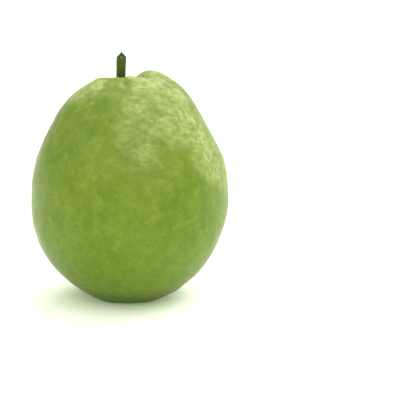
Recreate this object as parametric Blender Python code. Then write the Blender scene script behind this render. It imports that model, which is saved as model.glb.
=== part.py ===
"""A whole guava as picked: the fruit stands on the rim of its blossom end, with the cut stalk in a pit on top
and the dried calyx tucked into the basin below. Metres, +Z up. The origin is on the surface it stands on,
under the middle of the fruit's bounding box, and -Y is its front."""

import math

import bmesh
import bpy
import numpy as np
from mathutils import Vector, noise
from mathutils.bvhtree import BVHTree

# Driving dimensions of the fruit.
HALF_WIDTH = 0.0441
RISE_ABOVE_WIDEST = 0.0585
DROP_BELOW_WIDEST = 0.0456
UPPER_ROUNDNESS = 2.34
LOWER_ROUNDNESS = 1.94
FLATTENING = 0.0010
GAP = 0.0003

# Taper towards the stalk: how far the upper flank lies inside the plain egg, at what height and spread.
TAPER = 0.0027
TAPER_HEIGHT = 0.0360
TAPER_SPREAD = 0.0140

# The fruit hung a little crooked: its middle is pushed one way in plan and its blossom end the other.
BEND = Vector((0.0012, -0.0004))
BEND_HEIGHT = 0.0103
BEND_SPREAD = 0.0240
END_LEAN = Vector((0.0004, 0.0003))

# Stem pit: its axis in plan, its depth, its width and how square its bowl is.
PIT_AXIS = Vector((-0.0026, 0.0010))
PIT_DEPTH = 0.0100
PIT_WIDTH = 0.0082
PIT_SQUARENESS = 2.4

# Basin at the blossom end, round the vertical axis.
BASIN_DEPTH = 0.0100
BASIN_WIDTH = 0.0100
BASIN_SQUARENESS = 3.0

# Swellings round the stem pit: (bearing in degrees, distance from the pit's axis, rise, spread).
SHOULDERS = [
    (34, 0.0157, 0.0041, 0.0088),
    (7, 0.0248, 0.0027, 0.0090),
    (-68, 0.0119, 0.0029, 0.0090),
    (-133, 0.0130, 0.0023, 0.0095),
    (138, 0.0200, 0.0010, 0.0090),
]
# Valleys that run down from the pit between the shoulders: (bearing in degrees, depth, half angle, reach).
VALLEYS = [
    (-84, 0.0007, 9, 0.030),
    (105, 0.0030, 38, 0.020),
    (-5, 0.0008, 16, 0.034),
    (-165, 0.0006, 14, 0.030),
]
# Broad swellings of the flesh: (bearing in degrees, height over the widest level, rise, spread).
SWELLINGS = [
    (0, 0.0360, 0.0009, 0.0160),
    (0, 0.0140, 0.0010, 0.0260),
    (180, 0.0360, 0.0006, 0.0160),
    (180, 0.0100, 0.0010, 0.0260),
    (180, -0.0220, 0.0006, 0.0200),
    (100, 0.0080, 0.0012, 0.0240),
    (60, -0.0200, -0.0008, 0.0200),
]
RIM_LOBES = 5
RIM_LOBE_RISE = 0.0006
RIM_LOBE_SPREAD = 0.0055
RIM_RADIUS = 0.0140
RIM_FIRST_BEARING = -56

# Unevenness that every guava has: (rise, wavelength).
UNEVENNESS = [(0.00055, 0.030), (0.00022, 0.012)]

RINGS = 46
MERIDIANS = 60
POLE_CROWDING = 0.5

# The stalk, whose axis is a little beside the pit's.
STEM_AXIS = Vector((-0.0030, 0.0010))
STEM_RADIUS = 0.0022
STEM_FLARE = 0.0007
STEM_FLARE_SHARPNESS = 6
STEM_TIP_Z = 0.1122
STEM_CUT_DROP = 0.0036
STEM_CUT_CURVE = 0.55
STEM_LEAN = Vector((0.0005, 0.0003))
STEM_STATIONS = 9
STEM_SIDES = 16

SEPALS = 5
SEPAL_FIRST_BEARING = -20
SEPAL_INNER_RADIUS = 0.0042
SEPAL_LENGTH = 0.0053
SEPAL_WIDTH = 0.0045
SEPAL_TIP_SHARE = 0.14
SEPAL_THICKNESS = 0.0006
SEPAL_CURL = 0.0004
SEPAL_ROWS = 7
SEPAL_COLUMNS = 6

STYLE_RADIUS = 0.0005
STYLE_LENGTH = 0.0026
STYLE_SIDES = 10

SOUTH, NORTH = -math.pi / 2, math.pi / 2


def clear_scene():
    for obj in list(bpy.data.objects):
        bpy.data.objects.remove(obj, do_unlink=True)


def material(name, colour, roughness):
    """A plain Principled surface, with its colour as linear RGB."""
    made = bpy.data.materials.new(name)
    made.use_nodes = True
    shader = made.node_tree.nodes["Principled BSDF"]
    shader.inputs["Base Color"].default_value = (*colour, 1.0)
    shader.inputs["Roughness"].default_value = roughness
    shader.inputs["Metallic"].default_value = 0.0
    return made


def add_object(name, shape, finish, parent):
    """An object made from a bmesh, shaded smooth, with its material, under the parent."""
    mesh = bpy.data.meshes.new(name)
    bmesh.ops.recalc_face_normals(shape, faces=shape.faces)
    shape.to_mesh(mesh)
    shape.free()
    mesh.materials.append(finish)
    mesh.shade_smooth()
    obj = bpy.data.objects.new(name, mesh)
    bpy.context.scene.collection.objects.link(obj)
    obj.parent = parent
    return obj


def bell(distance, width, squareness=2.0):
    """1 at no distance, falling smoothly to 0 a little past the width."""
    return math.exp(-((abs(distance) / width) ** squareness))


def bearing_point(bearing, distance):
    """A point in plan, at a bearing in degrees from +X, anticlockwise."""
    angle = math.radians(bearing)
    return Vector((distance * math.cos(angle), distance * math.sin(angle)))


def angle_between(bearing, other):
    """The angle from one bearing to another, in degrees, the short way round."""
    return abs((bearing - other + 180) % 360 - 180)


def egg_point(latitude, bearing):
    """A point on the plain egg, whose widest level is at z = 0."""
    share = math.cos(latitude)
    plan = bearing_point(bearing, HALF_WIDTH * share)
    if latitude > 0:
        height = RISE_ABOVE_WIDEST * (1 - share**UPPER_ROUNDNESS) ** (1 / UPPER_ROUNDNESS)
    else:
        height = -DROP_BELOW_WIDEST * (1 - share**LOWER_ROUNDNESS) ** (1 / LOWER_ROUNDNESS)
    return Vector((plan.x, plan.y, height))


def flesh_swelling(point):
    """How far the flank stands outside the plain egg at that point."""
    swelling = -TAPER * bell(point.z - TAPER_HEIGHT, TAPER_SPREAD)
    for bearing, height, rise, spread in SWELLINGS:
        middle = Vector((*bearing_point(bearing, HALF_WIDTH), height))
        swelling += rise * bell((point - middle).length, spread)
    for rise, wavelength in UNEVENNESS:
        swelling += rise * noise.noise(point / wavelength)
    return swelling


def top_rise(point):
    """What the pit, the shoulders and the valleys between them add to the top."""
    out = point.xy - PIT_AXIS
    bearing = math.degrees(math.atan2(out.y, out.x))
    rise = -PIT_DEPTH * bell(out.length, PIT_WIDTH, PIT_SQUARENESS)
    for at, distance, height, spread in SHOULDERS:
        rise += height * bell((out - bearing_point(at, distance)).length, spread)
    for at, depth, half_angle, reach in VALLEYS:
        across = bell(angle_between(bearing, at), half_angle)
        along = bell(out.length, reach) * (1 - bell(out.length, PIT_WIDTH / 2))
        rise -= depth * across * along
    return rise


def bottom_rise(point):
    """What the basin and the lobes of its rim add to the bottom."""
    rise = BASIN_DEPTH * bell(point.xy.length, BASIN_WIDTH, BASIN_SQUARENESS)
    for lobe in range(RIM_LOBES):
        middle = bearing_point(RIM_FIRST_BEARING + lobe * 360 / RIM_LOBES, RIM_RADIUS)
        rise -= RIM_LOBE_RISE * bell((point.xy - middle).length, RIM_LOBE_SPREAD)
    return rise


def axis_shift(height):
    """How far the middle of the fruit lies off the vertical axis at that height, in plan."""
    shift = BEND * bell(height - BEND_HEIGHT, BEND_SPREAD)
    if height < 0:
        shift += END_LEAN * (height / DROP_BELOW_WIDEST) ** 2
    return shift


def fruit_point(latitude, bearing):
    """A point on the fruit, whose widest level is near z = 0."""
    point = egg_point(latitude, bearing)
    lift = top_rise(point) if latitude > 0 else bottom_rise(point)
    shift = axis_shift(point.z)
    return point + point.normalized() * flesh_swelling(point) + Vector((shift.x, shift.y, lift))


def latitudes():
    """Latitudes of the rings between the poles, closer together near each pole."""
    for ring in range(1, RINGS):
        place = 2 * ring / RINGS - 1
        crowded = place + POLE_CROWDING * math.sin(math.pi * place) / math.pi
        yield crowded * NORTH


def join_rings(shape, rings):
    """Quads between each ring of points and the next."""
    for lower, upper in zip(rings, rings[1:]):
        for number in range(len(lower)):
            following = (number + 1) % len(lower)
            shape.faces.new((lower[number], lower[following], upper[following], upper[number]))


def fan(shape, centre, ring):
    """Triangles from a centre to every edge of a ring."""
    for number in range(len(ring)):
        shape.faces.new((centre, ring[number], ring[(number + 1) % len(ring)]))


def fruit_shape():
    shape = bmesh.new()
    rings = []
    for latitude in latitudes():
        points = [fruit_point(latitude, number * 360 / MERIDIANS) for number in range(MERIDIANS)]
        rings.append([shape.verts.new(point) for point in points])
    join_rings(shape, rings)
    fan(shape, shape.verts.new(fruit_point(SOUTH, 0)), rings[0])
    fan(shape, shape.verts.new(fruit_point(NORTH, 0)), rings[-1])
    return shape


def set_down(shape):
    """Presses the rim flat where it stands, and moves the fruit over the origin. Gives the move in plan."""
    corners = np.array([vert.co for vert in shape.verts])
    low, high = corners.min(axis=0), corners.max(axis=0)
    resting = low[2] + FLATTENING
    for vert in shape.verts:
        vert.co.z = max(vert.co.z, resting)
    move = -Vector(((low[0] + high[0]) / 2, (low[1] + high[1]) / 2, resting))
    bmesh.ops.translate(shape, vec=move, verts=shape.verts)
    return move.xy


def top_height(surface, place):
    """Height of the fruit's top surface at a place in plan."""
    return surface.ray_cast(Vector((place.x, place.y, 1.0)), Vector((0, 0, -1)))[0].z


def bottom_height(surface, place):
    """Height of the fruit's bottom surface at a place in plan."""
    return surface.ray_cast(Vector((place.x, place.y, -1.0)), Vector((0, 0, 1)))[0].z


def stem_shape(surface, axis):
    """The stalk: a rod that leans a little, flared where it meets the pit and cut to a point at its back."""

    def point(share, bearing, radius):
        flare = 1 + STEM_FLARE / STEM_RADIUS * (1 - share) ** STEM_FLARE_SHARPNESS
        out = bearing_point(bearing, radius * flare)
        foot = top_height(surface, axis + out) + GAP
        from_back = (out - Vector((0, STEM_RADIUS))).length / (2 * STEM_RADIUS)
        top = STEM_TIP_Z - STEM_CUT_DROP * from_back**STEM_CUT_CURVE
        plan = axis + out + STEM_LEAN * share**2
        return Vector((plan.x, plan.y, foot + (top - foot) * share))

    def ring(share, radius):
        bearings = [90 + side * 360 / STEM_SIDES for side in range(STEM_SIDES)]
        return [shape.verts.new(point(share, bearing, radius)) for bearing in bearings]

    shape = bmesh.new()
    half = STEM_RADIUS / 2
    side_rings = [ring(station / STEM_STATIONS, STEM_RADIUS) for station in range(STEM_STATIONS + 1)]
    inner_rings = [ring(0.0, half), ring(1.0, half)]
    join_rings(shape, [inner_rings[0], *side_rings, inner_rings[1]])
    fan(shape, shape.verts.new(point(0.0, 0, 0)), inner_rings[0])
    fan(shape, shape.verts.new(point(1.0, 0, 0)), inner_rings[1])
    return shape


def sepal_shape(surface, middle, bearing):
    """One calyx lobe as a sheet: ovate, following the basin's wall and curling away from it at its tip."""
    shape = bmesh.new()
    rows = []
    for row in range(SEPAL_ROWS + 1):
        along = row / SEPAL_ROWS
        half_width = SEPAL_WIDTH / 2 * (SEPAL_TIP_SHARE + (1 - SEPAL_TIP_SHARE) * (1 - along**2) ** 0.8)
        distance = SEPAL_INNER_RADIUS + SEPAL_LENGTH * along
        drop = GAP + SEPAL_THICKNESS / 2 + SEPAL_CURL * along**2
        line = []
        for column in range(SEPAL_COLUMNS + 1):
            across = 2 * column / SEPAL_COLUMNS - 1
            turn = math.degrees(across * half_width / distance)
            place = middle + bearing_point(bearing + turn, distance)
            line.append(shape.verts.new((place.x, place.y, bottom_height(surface, place) - drop)))
        rows.append(line)
    for near, far in zip(rows, rows[1:]):
        for column in range(SEPAL_COLUMNS):
            shape.faces.new((near[column], near[column + 1], far[column + 1], far[column]))
    return shape


def style_shape(surface, middle):
    """The dried style: a short tapered rod that hangs from the middle of the basin."""
    shape = bmesh.new()
    bmesh.ops.create_cone(
        shape,
        cap_ends=True,
        segments=STYLE_SIDES,
        radius1=STYLE_RADIUS,
        radius2=STYLE_RADIUS * 1.5,
        depth=STYLE_LENGTH,
    )
    top = bottom_height(surface, middle) - GAP
    bmesh.ops.translate(shape, vec=(middle.x, middle.y, top - STYLE_LENGTH / 2), verts=shape.verts)
    return shape


def build():
    clear_scene()
    skin = material("guava_skin", (0.242, 0.352, 0.058), 0.45)
    stalk = material("green_stalk", (0.075, 0.105, 0.022), 0.60)
    dried = material("dried_calyx", (0.150, 0.095, 0.040), 0.80)

    guava = bpy.data.objects.new("guava", None)
    bpy.context.scene.collection.objects.link(guava)

    fruit = fruit_shape()
    move = set_down(fruit)
    calyx_axis = move + END_LEAN
    surface = BVHTree.FromBMesh(fruit)
    add_object("stem", stem_shape(surface, STEM_AXIS + move), stalk, guava)
    add_object("style", style_shape(surface, calyx_axis), dried, guava)
    for number in range(SEPALS):
        bearing = SEPAL_FIRST_BEARING + number * 360 / SEPALS
        sheet = sepal_shape(surface, calyx_axis, bearing)
        sepal = add_object(f"sepal_{number + 1}", sheet, dried, guava)
        thicken = sepal.modifiers.new("thickness", "SOLIDIFY")
        thicken.thickness = SEPAL_THICKNESS
        thicken.offset = 0.0
    add_object("fruit", fruit, skin, guava)


build()
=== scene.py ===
"""The looks of a whole guava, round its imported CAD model: a finely modelled skin with bumps, a crease and
pores, a ridged stalk with a torn cut, curled dry calyx lobes round the remains of the stamens, and soft
studio light."""

import math
import random

import bmesh
import bpy
import numpy as np
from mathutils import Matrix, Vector, noise
from mathutils.bvhtree import BVHTree


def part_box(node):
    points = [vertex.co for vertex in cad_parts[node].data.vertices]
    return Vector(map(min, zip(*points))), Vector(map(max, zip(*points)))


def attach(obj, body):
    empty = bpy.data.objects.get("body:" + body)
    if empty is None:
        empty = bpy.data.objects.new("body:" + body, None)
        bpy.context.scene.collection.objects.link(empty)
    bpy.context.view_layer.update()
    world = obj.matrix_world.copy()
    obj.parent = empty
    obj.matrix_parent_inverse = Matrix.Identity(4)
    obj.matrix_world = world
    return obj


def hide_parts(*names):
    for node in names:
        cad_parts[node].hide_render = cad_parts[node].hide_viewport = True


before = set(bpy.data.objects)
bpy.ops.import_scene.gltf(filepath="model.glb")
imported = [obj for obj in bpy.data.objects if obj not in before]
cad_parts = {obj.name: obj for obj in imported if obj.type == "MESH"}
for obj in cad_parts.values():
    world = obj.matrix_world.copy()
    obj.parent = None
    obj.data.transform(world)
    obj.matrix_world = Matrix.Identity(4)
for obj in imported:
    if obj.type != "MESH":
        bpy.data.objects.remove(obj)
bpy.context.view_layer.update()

# The fruit's form, as in its CAD model, in metres, with bearings in degrees anticlockwise from +X.
HALF_WIDTH = 0.0441
RISE_ABOVE_WIDEST = 0.0585
DROP_BELOW_WIDEST = 0.0456
UPPER_ROUNDNESS = 2.34
LOWER_ROUNDNESS = 1.94
FLATTENING = 0.0010

TAPER = 0.0027
TAPER_HEIGHT = 0.0360
TAPER_SPREAD = 0.0140

BEND = (0.0012, -0.0004)
BEND_HEIGHT = 0.0103
BEND_SPREAD = 0.0240
END_LEAN = (0.0004, 0.0003)

PIT_AXIS = (-0.0026, 0.0010)
PIT_DEPTH = 0.0100
PIT_WIDTH = 0.0082
PIT_SQUARENESS = 2.4

BASIN_DEPTH = 0.0100
BASIN_WIDTH = 0.0100
BASIN_SQUARENESS = 3.0

# Swellings round the stem pit: (bearing, distance from the pit's axis, rise, spread).
SHOULDERS = [
    (34, 0.0157, 0.0041, 0.0088),
    (7, 0.0248, 0.0027, 0.0090),
    (-68, 0.0119, 0.0029, 0.0090),
    (-133, 0.0130, 0.0023, 0.0095),
    (138, 0.0200, 0.0010, 0.0090),
]
# Valleys between the shoulders: (bearing, depth, half angle, reach).
VALLEYS = [
    (-84, 0.0007, 9, 0.030),
    (105, 0.0030, 38, 0.020),
    (-5, 0.0008, 16, 0.034),
    (-165, 0.0006, 14, 0.030),
]
# Broad swellings of the flesh: (bearing, height over the widest level, rise, spread).
SWELLINGS = [
    (0, 0.0360, 0.0009, 0.0160),
    (0, 0.0140, 0.0010, 0.0260),
    (180, 0.0360, 0.0006, 0.0160),
    (180, 0.0100, 0.0010, 0.0260),
    (180, -0.0220, 0.0006, 0.0200),
    (100, 0.0080, 0.0012, 0.0240),
    (60, -0.0200, -0.0008, 0.0200),
]
RIM_LOBES = 5
RIM_LOBE_RISE = 0.0006
RIM_LOBE_SPREAD = 0.0055
RIM_RADIUS = 0.0140
RIM_FIRST_BEARING = -56
UNEVENNESS = [(0.00055, 0.030), (0.00022, 0.012)]

# The fine mesh of the skin.
RINGS = 280
MERIDIANS = 340
POLE_CROWDING = 0.35

# Places of the skin with a pale painted highlight, which are also more bumpy: (direction from the fruit's
# middle, spread in degrees, strength). Each is full within half its spread and ends at one and a half times
# it.
HIGHLIGHT_AND_BUMP_PLACES = [
    ((0.12, -0.36, 0.92), 12, 0.76),
    ((0.16, -0.55, 0.82), 13, 0.55),
    ((0.13, -0.68, 0.72), 12, 0.52),
    ((0.40, -0.48, 0.78), 11.5, 0.84),
    ((0.30, -0.80, 0.52), 13, 0.15),
    ((0.40, -0.12, 0.91), 10, 0.78),
    ((0.52, -0.24, 0.82), 9, 0.20),
    ((0.60, -0.34, 0.72), 9, 0.90),
    ((0.71, -0.37, 0.60), 9, 0.76),
    ((0.78, -0.40, 0.47), 11, 0.74),
    ((0.16, -0.02, 0.98), 14, 1.0),
    ((-0.10, -0.22, 0.97), 11, 0.85),
    ((-0.24, -0.72, 0.64), 18, 0.11),
    ((-0.27, -0.12, 0.95), 12, 0.88),
    ((0.86, -0.22, 0.46), 15, 0.50),
    ((0.76, 0.02, 0.64), 20, 0.42),
    ((0.62, 0.42, 0.66), 20, 0.34),
    ((-0.05, 0.70, 0.71), 20, 0.28),
    ((-0.55, 0.62, 0.56), 26, 0.32),
    ((-0.86, 0.20, 0.47), 18, 0.18),
]
# How their edges wander: (degrees, wavelength, seed).
HIGHLIGHT_EDGE_WANDER = [(5.0, 0.014, 5.7), (2.5, 0.005, 2.9)]
# Relief that only this fine mesh carries: (rise, wavelength across, wavelength along the height, the share of
# it that is only in the places of the painted highlight).
RELIEF = [
    (0.00046, 0.0095, 0.0070, 0.60),
    (0.00024, 0.0050, 0.0036, 0.70),
    (0.00009, 0.0032, 0.0022, 0.75),
    (0.00007, 0.0036, 0.0150, 0.10),
]
RELIEF_SEED_STEP = 7.3
# The crease in the front valley, cut into the skin and darkened with painted shade, which lies round a
# distance from the pit's axis.
CREASE_DEPTH = 0.00035
CREASE_BEARING = -79
CREASE_HALF_ANGLE = 5
CREASE_DISTANCE = 0.018
CREASE_REACH = 0.010
# How it breaks up: (amount, wavelength, seed).
CREASE_BREAKS = (0.5, 0.004, 4.4)
# Beside the crease lies a band that most of the painted highlight is kept away from.
HIGHLIGHT_GAP_BEARING = -98
HIGHLIGHT_GAP_HALF_ANGLE = 14
HIGHLIGHT_GAP_START = 0.010
HIGHLIGHT_GAP_END = 0.034
HIGHLIGHT_GAP_STRENGTH = 0.75
# How the crease and the band waver: (degrees, wavelength, seed).
BEARING_WAVER = (4, 0.006, 9.1)
# Puckers of the skin round the stalk, and folds round the calyx: (number, depth, radius, spread).
PUCKERS = (17, 0.00020, 0.0065, 0.0042)
FOLDS = (13, 0.00032, 0.0095, 0.0034)
# How both of them bend: (radians, wavelength, seed).
FOLD_SWIRL = (2.2, 0.010, 3.1)
# The collar of the skin round the stalk's foot.
COLLAR_RADIUS = 0.0033
COLLAR_WIDTH = 0.0007
COLLAR_RISE = 0.0003
# The raised edge of the corky disc inside the calyx.
DISC_RADIUS = 0.0038
DISC_EDGE_WIDTH = 0.0008
DISC_RISE = 0.0005

# How far the painted marks reach, the painted shade low down, at the base and in the pit among them: up the
# flank, out from the pit's axis, and out from the basin's axis.
LOW_SHADE_HEIGHT = 0.0350
BASE_SHADE_HEIGHT = 0.0074
PIT_SHADE_RADIUS = 0.0080
STALK_SCAR_RADIUS = 0.0040
RUSSET_RADIUS = 0.0105
DISC_SHADE_RADIUS = 0.0046
# The depth at which a valley's painted shade is as dark as it gets.
VALLEY_SHADE_DEPTH = 0.0014

# The stalk, with the measures of its CAD model.
STALK_RADIUS = 0.0022
STALK_FLARE = 0.0007
STALK_FLARE_SHARPNESS = 6
STALK_TIP_HEIGHT = 0.1122
STALK_CUT_DROP = 0.0036
STALK_CUT_CURVE = 0.55
STALK_LEAN = (0.0005, 0.0003)
STALK_SUNK = 0.0003
STALK_STATIONS = 64
STALK_SIDES = 72
# The rings of points across the cut, as shares of the radius.
STALK_CUT_RINGS = [0.97, 0.90, 0.80, 0.68, 0.55, 0.42, 0.28, 0.14]
# The share of the height where it is thickest, over what spread, and how much thinner it is away from there.
STALK_THICKEST_AT = 0.92
STALK_THICKEST_SPREAD = 0.30
STALK_THINNING = 0.05
# Its uneven ridges and its roughness: (rise as a share of the radius, fineness round it, fineness along it).
STALK_RIDGES = (0.045, 3.4, 2.72)
STALK_ROUGHNESS = (0.012, 6, 14)
# Its regular ribs, and how they waver: (radians, fineness round it, fineness along it).
STALK_RIBS = 9
STALK_RIB_RISE = 0.018
STALK_RIB_WAVER = (5, 2.0, 1.6)
# Splinters of the torn cut: how deep, and how many to the metre across and along.
SPLINTER_DEPTH = 0.00022
SPLINTERS_ACROSS = 3500
SPLINTERS_ALONG = 1400
# The middle of the pith, from the middle of the cut.
PITH_PLACE = (0.0, -0.0008)

# The calyx, with the measures of its CAD model. Its random draws start from one seed.
CHANCE_SEED = 5
SEPALS = 5
SEPAL_FIRST_BEARING = -20
SEPAL_INNER_RADIUS = 0.0040
SEPAL_LENGTH = 0.0055
SEPAL_WIDTH = 0.0046
SEPAL_TIP_SHARE = 0.14
SEPAL_THICKNESS = 0.00045
SEPAL_CURL = 0.0006
SEPAL_ROWS = 30
SEPAL_COLUMNS = 18
# How the lobes differ: how far the tip turns aside, in degrees, the least and most of the curl, and how
# ragged the edges are.
SEPAL_SKEW = 6
SEPAL_CURL_SHARES = (0.6, 1.5)
SEPAL_RAGGEDNESS = 0.10
# How far the sides bend down, the sheet warps and the veins stand out, the veins' wave from the middle to an
# edge in radians, and by what share an edge is thinner.
SEPAL_SIDE_DROP = 0.00045
SEPAL_WARP = 0.00030
SEPAL_VEIN_RISE = 0.00004
SEPAL_VEIN_TURN = 14
SEPAL_EDGE_THINNING = 0.55

STYLE_RADIUS = 0.00045
STYLE_LENGTH = 0.0028
STYLE_SUNK = 0.0003
# It bows to the right, and by a share of that to the front, as a sine wave goes in so many radians.
STYLE_BEND = 0.00035
STYLE_BEND_FORWARDS = 0.6
STYLE_BEND_TURN = 2.4
# Its radius at the foot as a share, how much of that tapers away, how it is withered: (share, fineness), and
# its head: (swelling, place along it, spread).
STYLE_FOOT = 1.55
STYLE_TAPER = 0.75
STYLE_WITHERING = (0.12, 9)
STYLE_HEAD = (0.45, 0.95, 0.10)
STYLE_STATIONS = 14
STYLE_SIDES = 16

# The stamens: their radius, the least and most of their distance from the middle, length and lean, and how
# far they turn aside and are scattered, in degrees.
STAMENS = 64
STAMEN_RADIUS = 0.00009
STAMEN_DISTANCES = (0.0025, 0.0039)
STAMEN_LENGTHS = (0.0011, 0.0026)
STAMEN_LEANS = (-0.9, 0.7)
STAMEN_SWAY = 30
STAMEN_SCATTER = 5
STAMEN_SUNK = 0.0002
# How far the tip goes aside for its lean, how late the thread bends, and what share of its length that costs.
STAMEN_ASIDE = 0.6
STAMEN_BEND_SHARPNESS = 1.6
STAMEN_SHORTENING = 0.25
# Its radius at the foot as a share, how much of that tapers away, and its head as for the style.
STAMEN_FOOT = 1.25
STAMEN_TAPER = 0.5
STAMEN_HEAD = (1.5, 0.93, 0.10)
STAMEN_STATIONS = 7
STAMEN_SIDES = 6
# A direction that no thread runs along, which the points round it are counted from.
THREAD_SIDE = Vector((0.3, 1, 0.1))


def bell(distance, width, squareness=2.0):
    """1 at no distance, falling smoothly to 0 a little past the width."""
    return np.exp(-((np.abs(distance) / width) ** squareness))


def bearing_point(bearing, distance):
    """Points in plan at bearings in degrees, as an array whose last axis is x, y."""
    angle = np.radians(bearing)
    return np.stack([distance * np.cos(angle), distance * np.sin(angle)], -1)


def length(vectors):
    """The length of each vector of an array."""
    return np.linalg.norm(vectors, axis=-1)


def bearings_of(out):
    """Bearings in degrees of places in plan."""
    return np.degrees(np.arctan2(out[:, 1], out[:, 0]))


def noise_field(points, wavelength, seed=0.0):
    """Smooth noise between about -1 and 1 at each point."""
    return np.array([noise.noise(Vector(point)) for point in points / wavelength + seed])


def waver(points, pattern):
    """Noise by a pattern: (amount, wavelength, seed)."""
    amount, wavelength, seed = pattern
    return amount * noise_field(points, wavelength, seed)


def egg_points(latitudes, bearings):
    """Points on the plain egg, whose widest level is at z = 0."""
    share = np.cos(latitudes)
    plan = bearing_point(bearings, HALF_WIDTH * share)
    upper = RISE_ABOVE_WIDEST * (1 - share**UPPER_ROUNDNESS) ** (1 / UPPER_ROUNDNESS)
    lower = -DROP_BELOW_WIDEST * (1 - share**LOWER_ROUNDNESS) ** (1 / LOWER_ROUNDNESS)
    return np.column_stack([plan, np.where(latitudes > 0, upper, lower)])


def flesh_swelling(points):
    """How far the flank stands outside the plain egg at each point."""
    swelling = -TAPER * bell(points[:, 2] - TAPER_HEIGHT, TAPER_SPREAD)
    for bearing, height, rise, spread in SWELLINGS:
        middle = np.append(bearing_point(bearing, HALF_WIDTH), height)
        swelling += rise * bell(length(points - middle), spread)
    for rise, wavelength in UNEVENNESS:
        swelling += rise * noise_field(points, wavelength)
    return swelling


def valley_depth(out):
    """Depth of the valleys at places in plan, measured out from the pit's axis."""
    distances = length(out)
    depth = np.zeros(len(out))
    for at, deep, half_angle, reach in VALLEYS:
        across = bell((bearings_of(out) - at + 180) % 360 - 180, half_angle)
        depth += deep * across * bell(distances, reach) * (1 - bell(distances, PIT_WIDTH / 2))
    return depth


def top_rise(points):
    """What the pit, the valleys and the shoulders add to the top."""
    out = points[:, :2] - PIT_AXIS
    rise = -PIT_DEPTH * bell(length(out), PIT_WIDTH, PIT_SQUARENESS) - valley_depth(out)
    for at, distance, height, spread in SHOULDERS:
        rise += height * bell(length(out - bearing_point(at, distance)), spread)
    return rise


def bottom_rise(points):
    """What the basin and the lobes of its rim add to the bottom."""
    rise = BASIN_DEPTH * bell(length(points[:, :2]), BASIN_WIDTH, BASIN_SQUARENESS)
    for lobe in range(RIM_LOBES):
        middle = bearing_point(RIM_FIRST_BEARING + lobe * 360 / RIM_LOBES, RIM_RADIUS)
        rise -= RIM_LOBE_RISE * bell(length(points[:, :2] - middle), RIM_LOBE_SPREAD)
    return rise


def axis_shift(heights):
    """How far the middle of the fruit lies off the vertical axis at each height, in plan."""
    shift = np.outer(bell(heights - BEND_HEIGHT, BEND_SPREAD), BEND)
    below = np.minimum(heights, 0) / DROP_BELOW_WIDEST
    return shift + np.outer(below**2, END_LEAN)


def highlight_gap(points):
    """How far each point is in the band beside the front crease that the painted highlight mostly leaves out,
    from 0 to 1.
    """
    out = points[:, :2] - PIT_AXIS
    off_band = bearings_of(out) - HIGHLIGHT_GAP_BEARING + waver(points, BEARING_WAVER)
    across = bell(off_band, HIGHLIGHT_GAP_HALF_ANGLE, squareness=6)
    before_end = bell(length(out), HIGHLIGHT_GAP_END, squareness=6)
    past_start = 1 - bell(length(out), HIGHLIGHT_GAP_START, squareness=4)
    return np.where(points[:, 2] > 0, across * before_end * past_start, 0)


def highlight_and_bumps(points):
    """How far each point is in a place of the painted highlight and the stronger bumps, from 0 to 1."""
    wander = sum(waver(points, pattern) for pattern in HIGHLIGHT_EDGE_WANDER)
    share = np.zeros(len(points))
    for place, spread, strength in HIGHLIGHT_AND_BUMP_PLACES:
        facing = points @ np.array(place) / length(points) / math.hypot(*place)
        away = np.degrees(np.arccos(np.clip(facing, -1, 1))) + wander
        edge = np.clip(1.5 - away / spread, 0, 1)
        share = np.maximum(share, strength * edge * edge * (3 - 2 * edge))
    return share * (1 - HIGHLIGHT_GAP_STRENGTH * highlight_gap(points))


def crease(points):
    """The line of the front valley, where it runs down from the pit: cut into the skin and darkened with
    painted shade.
    """
    out = points[:, :2] - PIT_AXIS
    off_line = bearings_of(out) - CREASE_BEARING + waver(points, BEARING_WAVER)
    line = bell(off_line, CREASE_HALF_ANGLE) * bell(length(out) - CREASE_DISTANCE, CREASE_REACH)
    broken = 0.75 + waver(points, CREASE_BREAKS)
    return np.where(points[:, 2] > 0, line * broken, 0)


def ripple(points, axis, pattern, swirl):
    """Regular folds round an axis, by a pattern: (number, depth, radius, spread)."""
    number, depth, radius, spread = pattern
    out = points[:, :2] - axis
    wave = np.sin(number * np.arctan2(out[:, 1], out[:, 0]) + swirl)
    return depth * wave * bell(length(out) - radius, spread)


def skin_relief(points):
    """How far the skin stands out from the plain form: bumps, the crease, puckers on top and folds below."""
    bumpy = highlight_and_bumps(points)
    relief = -CREASE_DEPTH * crease(points)
    for number, (rise, across, along, bumpy_share) in enumerate(RELIEF):
        strength = 1 - bumpy_share + bumpy_share * bumpy
        stretched = points / (across, across, along)
        relief += rise * strength * noise_field(stretched, 1.0, RELIEF_SEED_STEP * (number + 1))
    swirl = waver(points, FOLD_SWIRL)
    puckers = ripple(points, PIT_AXIS, PUCKERS, swirl)
    puckers += COLLAR_RISE * bell(length(points[:, :2] - PIT_AXIS) - COLLAR_RADIUS, COLLAR_WIDTH)
    folds = ripple(points, (0, 0), FOLDS, swirl)
    return relief + np.where(points[:, 2] > 0, puckers, folds)


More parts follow.
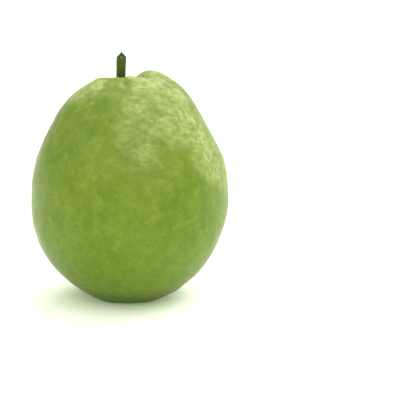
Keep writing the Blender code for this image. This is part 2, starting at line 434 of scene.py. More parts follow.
def fruit_points(latitudes, bearings):
    """Points on the fruit and, for each, the values that its skin's colours are painted by."""
    egg = egg_points(latitudes, bearings)
    upper = latitudes > 0
    relief = skin_relief(egg)
    lift = np.where(upper, top_rise(egg), bottom_rise(egg))
    radius = length(egg[:, :2])
    lift += np.where(upper, 0, -DISC_RISE * bell(radius - DISC_RADIUS, DISC_EDGE_WIDTH))
    points = egg + egg / length(egg)[:, None] * (flesh_swelling(egg) + relief)[:, None]
    points[:, :2] += axis_shift(egg[:, 2])
    points[:, 2] += lift
    out = egg[:, :2] - PIT_AXIS
    # These values carry the painted highlight and the painted shade low down, in the crease, the pit and the
    # valleys, besides the stalk's scar, the russet basin and the corky disc.
    values = {
        "highlight_and_bumps": highlight_and_bumps(egg),
        "crease": crease(egg),
        "low": bell(egg[:, 2] + DROP_BELOW_WIDEST, LOW_SHADE_HEIGHT),
        "pit": np.where(upper, bell(length(out), PIT_SHADE_RADIUS, squareness=3), 0),
        "stalk_scar": np.where(upper, bell(length(out), STALK_SCAR_RADIUS, squareness=4), 0),
        "valley": np.where(upper, valley_depth(out) / VALLEY_SHADE_DEPTH, 0).clip(0, 1),
        "basin": np.where(upper, 0, bell(radius, RUSSET_RADIUS, squareness=4)),
        "disc": np.where(upper, 0, bell(radius, DISC_SHADE_RADIUS, squareness=6)),
    }
    return points, values


def grid_faces(rings, sides, first=0):
    """Quads between rings of points that are numbered ring by ring."""
    faces = []
    for ring in range(rings - 1):
        for side in range(sides):
            following = (side + 1) % sides
            low, high = first + ring * sides, first + (ring + 1) * sides
            faces.append((low + side, low + following, high + following, high + side))
    return faces


def add_piece(name, points, faces, finish, node):
    """A smooth-shaded mesh that rides on the root body and stands for a CAD node, where one is named."""
    mesh = bpy.data.meshes.new(name)
    mesh.from_pydata([tuple(point) for point in points], [], faces)
    mesh.update()
    mesh.shade_smooth()
    mesh.materials.append(finish)
    piece = bpy.data.objects.new(name, mesh)
    bpy.context.scene.collection.objects.link(piece)
    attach(piece, "root")
    if node:
        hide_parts(node)
    return piece


def paint(piece, values):
    """Stores values on the mesh's points, one number each, for the material to read."""
    for name, numbers in values.items():
        layer = piece.data.attributes.new(name, "FLOAT", "POINT")
        layer.data.foreach_set("value", np.asarray(numbers, np.float32))


def fan_faces(middle, ring):
    """Triangles from a middle point to a ring of points, anticlockwise as seen from outside."""
    return [(middle, one, following) for one, following in zip(ring, ring[1:] + ring[:1])]


def build_fruit(finish):
    """The skin, standing flat and fitted in plan to its CAD node. Returns its surface, for heights on it."""
    place = 2 * np.arange(1, RINGS) / RINGS - 1
    rings = (place + POLE_CROWDING * np.sin(math.pi * place) / math.pi) * math.pi / 2
    bearings = np.arange(MERIDIANS) * 360 / MERIDIANS
    latitudes = np.concatenate([np.repeat(rings, MERIDIANS), [-math.pi / 2, math.pi / 2]])
    points, values = fruit_points(latitudes, np.concatenate([np.tile(bearings, RINGS - 1), [0, 0]]))
    points[:, 2] = np.maximum(points[:, 2] - points[:, 2].min() - FLATTENING, 0)
    # Painted shade near the ground, where the fruit sits on the table.
    values["base"] = bell(points[:, 2], BASE_SHADE_HEIGHT, squareness=3)
    low, high = (np.array(corner)[:2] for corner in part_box("fruit"))
    least, most = points[:, :2].min(axis=0), points[:, :2].max(axis=0)
    points[:, :2] = low + (points[:, :2] - least) * (high - low) / (most - least)
    south, north = len(points) - 2, len(points) - 1
    last = (RINGS - 2) * MERIDIANS
    faces = grid_faces(RINGS - 1, MERIDIANS)
    faces += fan_faces(south, list(range(MERIDIANS))[::-1])
    faces += fan_faces(north, list(range(last, last + MERIDIANS)))
    paint(add_piece("guava_skin", points, faces, finish, "fruit"), values)
    return BVHTree.FromPolygons([Vector(point) for point in points], faces)


def middle_of(node):
    """The middle of a CAD node's box in plan."""
    low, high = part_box(node)
    return np.array([(low[0] + high[0]) / 2, (low[1] + high[1]) / 2])


def top_height(surface, place):
    """Height of the fruit's top surface at a place in plan."""
    return surface.ray_cast(Vector((place[0], place[1], 1)), Vector((0, 0, -1)))[0].z


def bottom_height(surface, place):
    """Height of the fruit's bottom surface at a place in plan."""
    return surface.ray_cast(Vector((place[0], place[1], -1)), Vector((0, 0, 1)))[0].z


def stalk_noise(turn, share, pattern):
    """Noise that closes round the stalk, by a pattern: (amount, fineness round it, fineness along it)."""
    amount, across, along = pattern
    return amount * noise.noise(Vector((across * math.cos(turn), across * math.sin(turn), along * share)))


def stalk_swelling(bearing, share):
    """The stalk's radius at a bearing and a share of its height, as a share of its plain radius."""
    flare = 1 + STALK_FLARE / STALK_RADIUS * (1 - share) ** STALK_FLARE_SHARPNESS
    thickest = float(bell(share - STALK_THICKEST_AT, STALK_THICKEST_SPREAD))
    turn = math.radians(bearing)
    ridges = stalk_noise(turn, share, STALK_RIDGES)
    ribs = STALK_RIB_RISE * math.sin(STALK_RIBS * turn + stalk_noise(turn, share, STALK_RIB_WAVER))
    rough = stalk_noise(turn, share, STALK_ROUGHNESS)
    return flare * (1 - STALK_THINNING * (1 - thickest)) * (1 + ridges + ribs + rough)


def stalk_point(surface, axis, share, bearing, radius):
    """A point of the stalk: flared at its foot, ridged along its side and cut to a point at its back."""
    out = bearing_point(bearing, radius * stalk_swelling(bearing, share))
    foot = top_height(surface, axis + out) - STALK_SUNK
    from_back = float(length(out - (0, STALK_RADIUS))) / (2 * STALK_RADIUS)
    grain = noise.noise(Vector((out[0] * SPLINTERS_ACROSS, out[1] * SPLINTERS_ALONG, 4.0)))
    splinter = SPLINTER_DEPTH * min(grain, 0.0) * min(1.0, 3 * from_back)
    top = STALK_TIP_HEIGHT - STALK_CUT_DROP * from_back**STALK_CUT_CURVE + splinter
    plan = axis + out + np.array(STALK_LEAN) * share**2
    return (plan[0], plan[1], foot + (top - foot) * share)


def build_stalk(surface, finish):
    """The stalk: rings of points up its side and then inwards over the cut."""
    axis = middle_of("stem")
    bearings = [90 + side * 360 / STALK_SIDES for side in range(STALK_SIDES)]
    levels = [(station / STALK_STATIONS, 1.0) for station in range(STALK_STATIONS + 1)]
    levels += [(1.0, share) for share in STALK_CUT_RINGS]
    points = [
        stalk_point(surface, axis, up, bearing, STALK_RADIUS * share)
        for up, share in levels
        for bearing in bearings
    ]
    into_cut = [1.0 - share for up, share in levels for _ in bearings]
    height_share = [up for up, share in levels for _ in bearings]
    points += [stalk_point(surface, axis, 1.0, 0, 0), stalk_point(surface, axis, 0.0, 0, 0)]
    foot, tip = len(points) - 1, len(points) - 2
    last = (len(levels) - 1) * STALK_SIDES
    faces = grid_faces(len(levels), STALK_SIDES)
    faces += fan_faces(tip, list(range(last, last + STALK_SIDES)))
    faces += fan_faces(foot, list(range(STALK_SIDES))[::-1])
    from_pith = [length(np.array(point[:2]) - axis - STALK_LEAN - PITH_PLACE) for point in points]
    piece = add_piece("stalk", points, faces, finish, "stem")
    paint(piece, {"cut": into_cut + [1.0, 0.0], "up": height_share + [1.0, 0.0], "from_pith": from_pith})


def sepal_sheet(surface, middle, bearing, chance):
    """Rows of points of one lobe: ovate, following the basin's wall and curling away from it at its tip."""
    rows = []
    skew = chance.uniform(-SEPAL_SKEW, SEPAL_SKEW)
    curl = SEPAL_CURL * chance.uniform(*SEPAL_CURL_SHARES)
    for row in range(SEPAL_ROWS + 1):
        along = row / SEPAL_ROWS
        taper = SEPAL_TIP_SHARE + (1 - SEPAL_TIP_SHARE) * (1 - along**2) ** 0.8
        half_width = SEPAL_WIDTH / 2 * taper
        distance = SEPAL_INNER_RADIUS + SEPAL_LENGTH * along
        line = []
        for column in range(SEPAL_COLUMNS + 1):
            across = 2 * column / SEPAL_COLUMNS - 1
            seed = Vector((bearing, 3 * across, 5 * along))
            ragged = 1 + SEPAL_RAGGEDNESS * abs(across) * noise.noise(seed)
            turn = math.degrees(across * half_width * ragged / distance) + skew * along**2
            place = middle + bearing_point(bearing + turn, distance)
            drop = SEPAL_THICKNESS / 2 + curl * along**2
            drop += along * (SEPAL_SIDE_DROP * across**2 + SEPAL_WARP * noise.noise(seed * 0.7))
            drop += SEPAL_VEIN_RISE * math.sin(across * SEPAL_VEIN_TURN) * (1 - 0.6 * along)
            line.append(Vector((place[0], place[1], bottom_height(surface, place) - drop)))
        rows.append(line)
    return rows


def sheet_normals(rows):
    """The normals of a sheet at its rows of points."""
    shape = bmesh.new()
    grid = [[shape.verts.new(point) for point in line] for line in rows]
    for near, far in zip(grid, grid[1:]):
        for column in range(SEPAL_COLUMNS):
            shape.faces.new((near[column], near[column + 1], far[column + 1], far[column]))
    shape.normal_update()
    normals = [[vertex.normal.copy() for vertex in line] for line in grid]
    shape.free()
    return normals


def slab_faces(rows, columns):
    """Faces of a slab whose points are numbered row by row, first on its upper side and then on its lower."""
    wide, count = columns + 1, (rows + 1) * (columns + 1)
    faces = []
    for row in range(rows):
        for column in range(columns):
            corner = row * wide + column
            quad = (corner, corner + 1, corner + 1 + wide, corner + wide)
            faces.append(quad)
            faces.append(tuple(count + index for index in quad[::-1]))
    rim = list(range(wide)) + [row * wide + wide - 1 for row in range(1, rows + 1)]
    rim += list(range(rows * wide + wide - 2, rows * wide - 1, -1))
    rim += [row * wide for row in range(rows - 1, 0, -1)]
    for one, following in zip(rim, rim[1:] + rim[:1]):
        faces.append((following, one, count + one, count + following))
    return faces


def build_sepal(surface, middle, number, finish, chance):
    """One calyx lobe: its sheet thickened to both sides, thinner towards its edges."""
    bearing = SEPAL_FIRST_BEARING + number * 360 / SEPALS
    rows = sepal_sheet(surface, middle, bearing, chance)
    normals = sheet_normals(rows)
    points, along = [], []
    for side in (1, -1):
        for row, (line, across) in enumerate(zip(rows, normals)):
            for column, (point, normal) in enumerate(zip(line, across)):
                edge = 1 - SEPAL_EDGE_THINNING * abs(2 * column / SEPAL_COLUMNS - 1) ** 3
                points.append(point + normal * side * SEPAL_THICKNESS / 2 * edge)
                along.append(row / SEPAL_ROWS)
    faces = slab_faces(SEPAL_ROWS, SEPAL_COLUMNS)
    node = f"sepal_{number + 1}"
    paint(add_piece(f"calyx_lobe_{number + 1}", points, faces, finish, node), {"along": along})


def tube(points, faces, path, radii, sides):
    """Adds a closed tube along a path to lists of points and faces."""
    first = len(points)
    for index, (place, radius) in enumerate(zip(path, radii)):
        before, after = path[max(index - 1, 0)], path[min(index + 1, len(path) - 1)]
        forward = (after - before).normalized()
        side = forward.cross(THREAD_SIDE).normalized()
        other = forward.cross(side)
        for corner in range(sides):
            turn = 2 * math.pi * corner / sides
            points.append(place + (side * math.cos(turn) + other * math.sin(turn)) * radius)
    faces.extend(grid_faces(len(path), sides, first))
    start, end = len(points), len(points) + 1
    points.extend([path[0], path[-1]])
    last = first + (len(path) - 1) * sides
    faces.extend(fan_faces(start, list(range(first, first + sides))[::-1]))
    faces.extend(fan_faces(end, list(range(last, last + sides))))


def head_swelling(share, pattern):
    """How much a thread is swollen at a share of its length, by a pattern: (swelling, place, spread)."""
    swelling, at, spread = pattern
    return swelling * float(bell(share - at, spread))


def build_style(surface, middle, finish):
    """The dried style, a bent and withered rod with a small head."""
    top = bottom_height(surface, middle) + STYLE_SUNK
    withered, fineness = STYLE_WITHERING
    path, radii = [], []
    for station in range(STYLE_STATIONS + 1):
        share = station / STYLE_STATIONS
        bend = STYLE_BEND * math.sin(STYLE_BEND_TURN * share)
        height = top - (STYLE_LENGTH + STYLE_SUNK) * share
        path.append(Vector((middle[0] + bend, middle[1] - bend * STYLE_BEND_FORWARDS, height)))
        wither = withered * noise.noise(Vector((share * fineness, 1.0, 0.0)))
        plain = STYLE_FOOT - STYLE_TAPER * share**0.5
        radii.append(STYLE_RADIUS * (plain + head_swelling(share, STYLE_HEAD) + wither))
    points, faces = [], []
    tube(points, faces, path, radii, STYLE_SIDES)
    add_piece("dried_style", points, faces, finish, "style")


def build_stamens(surface, middle, finish, chance):
    """The dried stamens: thin bent threads with small heads, in a ragged ring inside the calyx."""
    points, faces = [], []
    for number in range(STAMENS):
        bearing = number * 360 / STAMENS + chance.uniform(-STAMEN_SCATTER, STAMEN_SCATTER)
        distance = chance.uniform(*STAMEN_DISTANCES)
        reach = chance.uniform(*STAMEN_LENGTHS)
        lean = chance.uniform(*STAMEN_LEANS)
        sway = chance.uniform(-STAMEN_SWAY, STAMEN_SWAY)
        place = middle + bearing_point(bearing, distance)
        start = Vector((place[0], place[1], bottom_height(surface, place) + STAMEN_SUNK))
        outward = Vector((*bearing_point(bearing + sway, 1.0), 0))
        path, radii = [], []
        for station in range(STAMEN_STATIONS + 1):
            share = station / STAMEN_STATIONS
            aside = outward * reach * lean * share**STAMEN_BEND_SHARPNESS * STAMEN_ASIDE
            down = reach * (share - STAMEN_SHORTENING * share**2)
            path.append(start + aside - Vector((0, 0, down)))
            plain = STAMEN_FOOT - STAMEN_TAPER * share
            radii.append(STAMEN_RADIUS * (plain + head_swelling(share, STAMEN_HEAD)))
        tube(points, faces, path, radii, STAMEN_SIDES)
    add_piece("dried_stamens", points, faces, finish, None)


# Materials. Their colours are linear RGB.


def node(tree, kind, inputs=(), **settings):
    """A shader node with its settings, whose inputs are set to values or linked from other nodes' sockets."""
    made = tree.nodes.new("ShaderNode" + kind)
    for name, value in settings.items():
        setattr(made, name, value)
    for name, value in dict(inputs).items():
        if isinstance(value, bpy.types.NodeSocket):
            tree.links.new(value, made.inputs[name])
        else:
            made.inputs[name].default_value = value
    return made


def new_material(name):
    """A material with one Principled shader, with its node tree and that shader."""
    made = bpy.data.materials.new(name)
    made.use_nodes = True
    return made, made.node_tree, made.node_tree.nodes["Principled BSDF"]


def painted(tree, name):
    """The value painted on the mesh's points under that name."""
    return node(tree, "Attribute", attribute_name=name).outputs["Fac"]


def here(tree, stretch=(1, 1, 1)):
    """The place on the object in metres, stretched along the axes."""
    place = node(tree, "TexCoord").outputs["Object"]
    return node(tree, "Mapping", {"Vector": place, "Scale": stretch}).outputs["Vector"]


def speckle(tree, where, wavelength, detail=2.0, roughness=0.5):
    """Cloudy noise about 0.5, with features about as wide as the wavelength."""
    inputs = {"Vector": where, "Scale": 1 / wavelength, "Detail": detail, "Roughness": roughness}
    return node(tree, "TexNoise", inputs).outputs["Fac"]


def remap(tree, value, low, high, to_low=0.0, to_high=1.0):
    """The value moved from one range to another, and held inside it."""
    inputs = {"Value": value, "From Min": low, "From Max": high, "To Min": to_low, "To Max": to_high}
    return node(tree, "MapRange", inputs, interpolation_type="SMOOTHSTEP").outputs["Result"]


def times(tree, first, second):
    """The product of two values."""
    return node(tree, "Math", {0: first, 1: second}, operation="MULTIPLY").outputs[0]


def plus(tree, first, second):
    """The sum of two values."""
    return node(tree, "Math", {0: first, 1: second}, operation="ADD").outputs[0]


def blend(tree, factor, first, second):
    """The first colour turning into the second as the factor goes from 0 to 1."""
    first, second = [(*c, 1.0) if isinstance(c, tuple) else c for c in (first, second)]
    return node(tree, "Mix", {0: factor, 6: first, 7: second}, data_type="RGBA").outputs[2]


def bump(tree, height, depth, normal=None):
    """The normal of a surface raised by the height times the depth, on top of an earlier bump."""
    inputs = {"Height": height, "Distance": depth, "Strength": 1.0}
    if normal:
        inputs["Normal"] = normal
    return node(tree, "Bump", inputs).outputs["Normal"]


def spots(tree, where, spacing, edge, chances):
    """Scattered round spots, 1 inside and 0 outside. Their edge is in spacings, and each fades by chance."""
    cells = node(tree, "TexVoronoi", {"Vector": where, "Scale": 1 / spacing, "Randomness": 1.0})
    inside = remap(tree, cells.outputs["Distance"], edge[0], edge[1], 1.0, 0.0)
    return times(tree, inside, remap(tree, cells.outputs["Color"], chances[0], chances[1]))


def tint(tree, colour, where, strength, second):
    """The colour turning towards a second one where the mask is 1, as far as the strength says."""
    return blend(tree, times(tree, where, strength), colour, second)


# The skin's greens, its marks, its painted highlight and painted shades, and the sizes of its patterns in
# metres.
DARKER_GREEN = (0.103, 0.176, 0.012)
LIGHTER_GREEN = (0.118, 0.188, 0.014)
PATCH_GREEN = (0.146, 0.219, 0.019)
STREAK_GREEN = (0.166, 0.240, 0.024)
MOTTLE_GREEN = (0.190, 0.264, 0.027)
GAP_SHADE = (0.080, 0.148, 0.005)
VALLEY_FLOOR_SHADE = (0.085, 0.160, 0.005)
PAINTED_HIGHLIGHT = (0.420, 0.480, 0.185)
PORE_GREEN = (0.066, 0.126, 0.004)
DOT_GREEN = (0.380, 0.460, 0.150)
LOWER_SIDE_SHADE = (0.085, 0.145, 0.005)
CONTACT_SHADE = (0.045, 0.075, 0.004)
CREASE_SHADE = (0.085, 0.155, 0.004)
PIT_HOLLOW_SHADE = (0.090, 0.160, 0.010)
SCAR_BROWN = (0.100, 0.085, 0.028)
RUSSET = (0.165, 0.150, 0.050)
DISC_BROWN = (0.105, 0.070, 0.030)
SPECK_BROWN = (0.100, 0.120, 0.020)
BROAD_PATCHES = 0.030
PATCHES = 0.0110
MOTTLES = 0.0044
PEBBLES = 0.0020
GRAIN = 0.0006
STREAKS = 0.0046
FLECKS = 0.0030
PORE_SPACING = 0.0012
DOT_SPACING = 0.0028
SPECK_SPACING = 0.0145
PEBBLE_RISE = 0.00042
GRAIN_RISE = 0.00006
PORE_DEPTH = 0.00003


def skin_greens(tree, patchy, mottled, pebbled):
    """The skin's own greens: broad patches, streaks along the height and mottles, and painted shade in the
    gaps between bumps.
    """
    broad = speckle(tree, here(tree), BROAD_PATCHES)
    streaky = speckle(tree, here(tree, (1, 1, 0.18)), STREAKS, 5.0, 0.6)
    colour = blend(tree, remap(tree, broad, 0.36, 0.64), DARKER_GREEN, LIGHTER_GREEN)
    colour = blend(tree, remap(tree, patchy, 0.40, 0.70, 0, 0.60), colour, PATCH_GREEN)
    colour = blend(tree, remap(tree, streaky, 0.42, 0.68, 0, 0.40), colour, STREAK_GREEN)
    colour = blend(tree, remap(tree, mottled, 0.44, 0.70, 0, 0.60), colour, MOTTLE_GREEN)
    # Painted shade: darker in the gaps between the bumps.
    return blend(tree, remap(tree, pebbled, 0.52, 0.28, 0, 0.42), colour, GAP_SHADE)


def skin_painted_highlight(tree, highlight_and_bump_mask, mottled):
    """How much painted highlight there is: only in its places, uneven and flecked."""
    flecked = speckle(tree, here(tree, (1, 1, 1.6)), FLECKS, 3.0, 0.55)
    highlight = times(tree, highlight_and_bump_mask, remap(tree, mottled, 0.36, 0.66, 0.54, 0.95))
    return times(tree, highlight, remap(tree, flecked, 0.36, 0.64, 0.40, 0.95))


def skin_marks(tree, colour, patchy, mottled):
    """Painted shade low down, at the base, in the crease and in the pit, the corky places that are painted on
    the mesh, and a few brown specks.
    """
    # Painted shade: darker low down on the flank.
    colour = tint(tree, colour, painted(tree, "low"), 0.18, LOWER_SIDE_SHADE)
    # Painted shade: darker at the base, where the fruit sits on the table.
    colour = tint(tree, colour, painted(tree, "base"), 0.55, CONTACT_SHADE)
    # Painted shade: a dark line along the crease.
    colour = tint(tree, colour, painted(tree, "crease"), 0.70, CREASE_SHADE)
    # Painted shade: darker in the stalk's pit.
    colour = tint(tree, colour, painted(tree, "pit"), 0.45, PIT_HOLLOW_SHADE)
    scarred = remap(tree, patchy, 0.30, 0.70, 0.40, 1.0)
    colour = tint(tree, colour, painted(tree, "stalk_scar"), scarred, SCAR_BROWN)
    russeted = remap(tree, mottled, 0.35, 0.65, 0.25, 0.90)
    colour = tint(tree, colour, painted(tree, "basin"), russeted, RUSSET)
    colour = blend(tree, painted(tree, "disc"), colour, DISC_BROWN)
    speck = spots(tree, here(tree), SPECK_SPACING, (0.035, 0.060), (0.62, 0.70))
    return tint(tree, colour, speck, 0.35, SPECK_BROWN)


def skin_material():
    """Mottled green skin with a pale painted highlight and painted shade, pores and dots, a soft gloss and a
    little light inside.
    """
    made, tree, shader = new_material("guava_skin")
    where = here(tree)
    highlight_and_bump_mask = painted(tree, "highlight_and_bumps")
    patchy = speckle(tree, where, PATCHES, 6.0, 0.55)
    mottled = speckle(tree, where, MOTTLES, 6.0, 0.60)
    pebbled = speckle(tree, where, PEBBLES)
    grain = speckle(tree, where, GRAIN, 3.0, 0.6)
    pore = spots(tree, where, PORE_SPACING, (0.08, 0.24), (0.15, 0.85))
    dot = spots(tree, where, DOT_SPACING, (0.05, 0.16), (0.25, 0.80))

    colour = skin_greens(tree, patchy, mottled, pebbled)
    # Painted shade: darker in the valleys between the shoulders, the more so the deeper they are.
    colour = tint(tree, colour, painted(tree, "valley"), 0.40, VALLEY_FLOOR_SHADE)
    # Painted highlight: pale, flecked patches in the places listed for it, where the skin would shine.
    colour = blend(tree, skin_painted_highlight(tree, highlight_and_bump_mask, mottled), colour, PAINTED_HIGHLIGHT)
    colour = tint(tree, colour, pore, 0.50, PORE_GREEN)
    colour = tint(tree, colour, dot, 0.34, DOT_GREEN)
    tree.links.new(skin_marks(tree, colour, patchy, mottled), shader.inputs["Base Color"])
    tree.links.new(remap(tree, patchy, 0.30, 0.70, 0.34, 0.44), shader.inputs["Roughness"])

    raised = times(tree, pebbled, remap(tree, highlight_and_bump_mask, 0.0, 0.70, 0.40, 1.0))
    normal = bump(tree, raised, PEBBLE_RISE)
    normal = bump(tree, grain, GRAIN_RISE, normal)
    normal = bump(tree, times(tree, plus(tree, dot, pore), -1.0), PORE_DEPTH, normal)
    tree.links.new(normal, shader.inputs["Normal"])
    shader.inputs["IOR"].default_value = 1.45
    shader.inputs["Specular IOR Level"].default_value = 0.21
    shader.inputs["Subsurface Weight"].default_value = 0.10
    shader.inputs["Subsurface Radius"].default_value = (0.9, 1.0, 0.35)
    shader.inputs["Subsurface Scale"].default_value = 0.003
    return made


STALK_DARK = (0.038, 0.066, 0.006)
STALK_LIGHT = (0.064, 0.100, 0.010)
STALK_BLOTCH = (0.070, 0.072, 0.018)
STALK_FOOT = (0.100, 0.105, 0.026)
LENTICEL = (0.190, 0.175, 0.080)
WOOD_DARK = (0.022, 0.036, 0.005)
WOOD_LIGHT = (0.036, 0.052, 0.009)
PITH = (0.130, 0.165, 0.055)
FIBRES = 0.00055
STALK_BLOTCHES = 0.0028
STALK_GRAIN = 0.0005
LENTICEL_SPACING = 0.0013
FIBRE_RISE = 0.00012
LENTICEL_RISE = 0.00008
STALK_GRAIN_RISE = 0.00005
# The pith fades between these distances from its middle, by a ragged edge.
PITH_OUTER, PITH_INNER = 0.00080, 0.00050
PITH_RAGGEDNESS = 0.0004


def stalk_material():
    """Fibrous green bark with lenticels, darker wood at the cut and a pale pith in its middle."""
    made, tree, shader = new_material("green_stalk")
    where = here(tree)
    fibres = speckle(tree, here(tree, (1, 1, 0.12)), FIBRES, 3.0, 0.6)
    blotchy = speckle(tree, where, STALK_BLOTCHES)
    grain = speckle(tree, where, STALK_GRAIN, 2.0, 0.6)
    lenticel = spots(tree, here(tree, (1, 1, 0.5)), LENTICEL_SPACING, (0.10, 0.22), (0.35, 0.75))
    foot = remap(tree, painted(tree, "up"), 0.0, 0.28, 1.0, 0.0)
    cut = remap(tree, painted(tree, "cut"), 0.06, 0.16)
    from_pith = plus(tree, painted(tree, "from_pith"), times(tree, grain, PITH_RAGGEDNESS))

    colour = blend(tree, remap(tree, fibres, 0.35, 0.65), STALK_DARK, STALK_LIGHT)
    colour = blend(tree, remap(tree, blotchy, 0.50, 0.70, 0, 0.5), colour, STALK_BLOTCH)
    colour = tint(tree, colour, foot, 0.5, STALK_FOOT)
    colour = tint(tree, colour, lenticel, 0.5, LENTICEL)
    wood = blend(tree, remap(tree, grain, 0.35, 0.65), WOOD_DARK, WOOD_LIGHT)
    colour = blend(tree, cut, colour, wood)
    colour = tint(tree, colour, remap(tree, from_pith, PITH_OUTER, PITH_INNER), cut, PITH)

    tree.links.new(colour, shader.inputs["Base Color"])
    tree.links.new(remap(tree, fibres, 0.3, 0.7, 0.55, 0.72), shader.inputs["Roughness"])
    normal = bump(tree, fibres, FIBRE_RISE)
    normal = bump(tree, lenticel, LENTICEL_RISE, normal)
    tree.links.new(bump(tree, grain, STALK_GRAIN_RISE, normal), shader.inputs["Normal"])
    shader.inputs["Specular IOR Level"].default_value = 0.15
    return made


CALYX_DARK = (0.060, 0.038, 0.016)
CALYX_BROWN = (0.150, 0.105, 0.046)
CALYX_PALE = (0.260, 0.200, 0.105)
CALYX_GREEN = (0.085, 0.095, 0.024)
THREAD_DARK = (0.075, 0.045, 0.018)
THREAD_PALE = (0.240, 0.170, 0.080)
CALYX_BLOTCHES = 0.0016
CALYX_GRAIN = 0.0004
THREAD_BLOTCHES = 0.0009
CALYX_BLOTCH_RISE = 0.00012
CALYX_GRAIN_RISE = 0.00006
THREAD_RISE = 0.00004


def calyx_material():
    """Dry blotchy brown lobes, still a little green near their foot."""
    made, tree, shader = new_material("dried_calyx")
    where = here(tree)
    blotchy = speckle(tree, where, CALYX_BLOTCHES, 3.0, 0.6)
    grain = speckle(tree, where, CALYX_GRAIN, 3.0, 0.65)
    near_foot = remap(tree, painted(tree, "along"), 0.55, 0.0)
    green = times(tree, near_foot, remap(tree, blotchy, 0.6, 0.4))
    colour = blend(tree, remap(tree, blotchy, 0.36, 0.66), CALYX_DARK, CALYX_BROWN)
    colour = blend(tree, remap(tree, grain, 0.50, 0.72, 0, 0.5), colour, CALYX_PALE)
    tree.links.new(tint(tree, colour, green, 0.6, CALYX_GREEN), shader.inputs["Base Color"])
    tree.links.new(remap(tree, grain, 0.3, 0.7, 0.72, 0.90), shader.inputs["Roughness"])
    normal = bump(tree, blotchy, CALYX_BLOTCH_RISE)
    tree.links.new(bump(tree, grain, CALYX_GRAIN_RISE, normal), shader.inputs["Normal"])
    shader.inputs["Specular IOR Level"].default_value = 0.3
    return made


def thread_material():
    """The dry brown of the style and the stamens."""
    made, tree, shader = new_material("dried_threads")
    blotchy = speckle(tree, here(tree), THREAD_BLOTCHES, 3.0, 0.6)
    colour = blend(tree, remap(tree, blotchy, 0.36, 0.66), THREAD_DARK, THREAD_PALE)
    tree.links.new(colour, shader.inputs["Base Color"])
    tree.links.new(remap(tree, blotchy, 0.3, 0.7, 0.65, 0.85), shader.inputs["Roughness"])
    tree.links.new(bump(tree, blotchy, THREAD_RISE), shader.inputs["Normal"])
    shader.inputs["Specular IOR Level"].default_value = 0.3
    return made


# The stage.

CAMERA_ELEVATION = 12
CAMERA_LENS = 100
SENSOR_WIDTH = 36
VIEW_WIDTH = 0.1867
LOOKS_AT_X = 0.0320
LOOKS_AT_HEIGHT = 0.04326
SOFTBOX_COLOUR = (1.0, 0.99, 0.90)
# Broad soft lights: (name, direction it comes from, width in degrees, strength, whether the skin mirrors it).
SOFTBOXES = [
    ("overhead", (-0.05, -0.30, 0.97), 90, 1.70, True),
    ("key", (0.40, 0.62, 0.66), 66, 2.9, False),
]
# The table lies a hair under the fruit, and is slightly luminous for the tint and paleness of the shadow.
TABLE_HALF = 12.0
TABLE_TOP = -0.00005
TABLE_WHITE = (0.90, 0.91, 0.88, 1)
TABLE_GLOW_COLOUR = (0.68, 0.95, 0.35, 1)
TABLE_GLOW = 0.19
# How bright the white room is on the left and on the right, and how much brighter it is along the horizon.
# That glow is whole up to one height of the direction looked in, and gone at another.
ROOM_LEFT, ROOM_RIGHT = 0.72, 1.0
HORIZON_GLOW = 0.4
HORIZON_FULL, HORIZON_END = 0.03, 0.09


def add_camera():
    """A long lens a little above the fruit, with the fruit left of the middle and below it."""
    data = bpy.data.cameras.new("camera")
    data.lens = CAMERA_LENS
    data.sensor_width = SENSOR_WIDTH
    camera = bpy.data.objects.new("camera", data)
    bpy.context.scene.collection.objects.link(camera)
    tilt = math.radians(CAMERA_ELEVATION)
    forward = Vector((0, math.cos(tilt), -math.sin(tilt)))
    up = Vector((0, math.sin(tilt), math.cos(tilt)))
    target = Vector((LOOKS_AT_X, 0, 0)) + up * LOOKS_AT_HEIGHT
    camera.location = target - forward * VIEW_WIDTH * CAMERA_LENS / SENSOR_WIDTH
    camera.rotation_euler = (math.pi / 2 - tilt, 0, 0)
    bpy.context.scene.camera = camera


def add_softbox(name, towards, width, strength, mirrored):
    """A broad soft light from a direction, as wide across as the angle in degrees."""
    data = bpy.data.lights.new(name, "SUN")
    data.angle = math.radians(width)
    data.energy = strength
    data.color = SOFTBOX_COLOUR
    light = bpy.data.objects.new(name, data)
    bpy.context.scene.collection.objects.link(light)
    light.visible_glossy = mirrored
    light.rotation_euler = Vector(towards).to_track_quat("Z", "Y").to_euler()


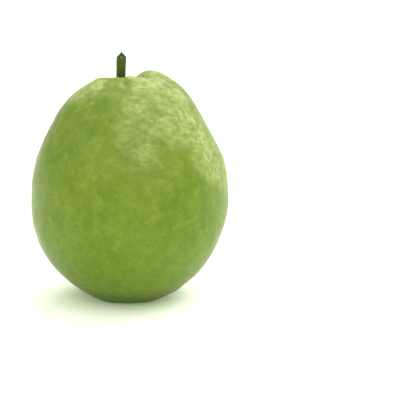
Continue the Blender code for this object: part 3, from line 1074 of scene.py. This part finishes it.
def add_floor():
    """A white table, seen only from above so that the underside can be looked at."""
    mesh = bpy.data.meshes.new("floor")
    corners = [(x * TABLE_HALF, y * TABLE_HALF, TABLE_TOP) for x, y in ((-1, -1), (1, -1), (1, 1), (-1, 1))]
    mesh.from_pydata(corners, [], [(0, 1, 2, 3)])
    finish, tree, shader = new_material("white_table")
    shader.inputs["Base Color"].default_value = TABLE_WHITE
    shader.inputs["Roughness"].default_value = 0.9
    shader.inputs["Specular IOR Level"].default_value = 0.0
    shader.inputs["Emission Color"].default_value = TABLE_GLOW_COLOUR
    shader.inputs["Emission Strength"].default_value = TABLE_GLOW
    from_below = node(tree, "NewGeometry").outputs["Backfacing"]
    from_above = node(tree, "Math", {0: 1.0, 1: from_below}, operation="SUBTRACT").outputs[0]
    tree.links.new(from_above, shader.inputs["Alpha"])
    mesh.materials.append(finish)
    floor = bpy.data.objects.new("floor", mesh)
    bpy.context.scene.collection.objects.link(floor)


def add_world():
    """White all round, brighter on the right, and brightest along the horizon, where the table ends."""
    world = bpy.data.worlds.new("white_studio")
    bpy.context.scene.world = world
    world.use_nodes = True
    tree = world.node_tree
    background = tree.nodes["Background"]
    background.inputs["Color"].default_value = (1, 1, 1, 1)
    direction = node(tree, "SeparateXYZ", {"Vector": node(tree, "TexCoord").outputs["Generated"]}).outputs
    height = node(tree, "Math", {0: direction["Z"]}, operation="ABSOLUTE").outputs[0]
    sideways = remap(tree, direction["X"], -1.0, 1.0, ROOM_LEFT, ROOM_RIGHT)
    horizon = remap(tree, height, HORIZON_FULL, HORIZON_END, HORIZON_GLOW, 0.0)
    tree.links.new(plus(tree, sideways, horizon), background.inputs["Strength"])


def build():
    """The fruit with its stalk and calyx, and then the stage."""
    add_camera()
    surface = build_fruit(skin_material())
    build_stalk(surface, stalk_material())
    dried = calyx_material()
    threads = thread_material()
    chance = random.Random(CHANCE_SEED)
    middle = middle_of("style")
    for number in range(SEPALS):
        build_sepal(surface, middle, number, dried, chance)
    build_style(surface, middle, threads)
    build_stamens(surface, middle, threads, chance)
    add_floor()
    add_world()
    for softbox in SOFTBOXES:
        add_softbox(*softbox)
    bpy.context.scene.view_settings.view_transform = "Standard"


build()
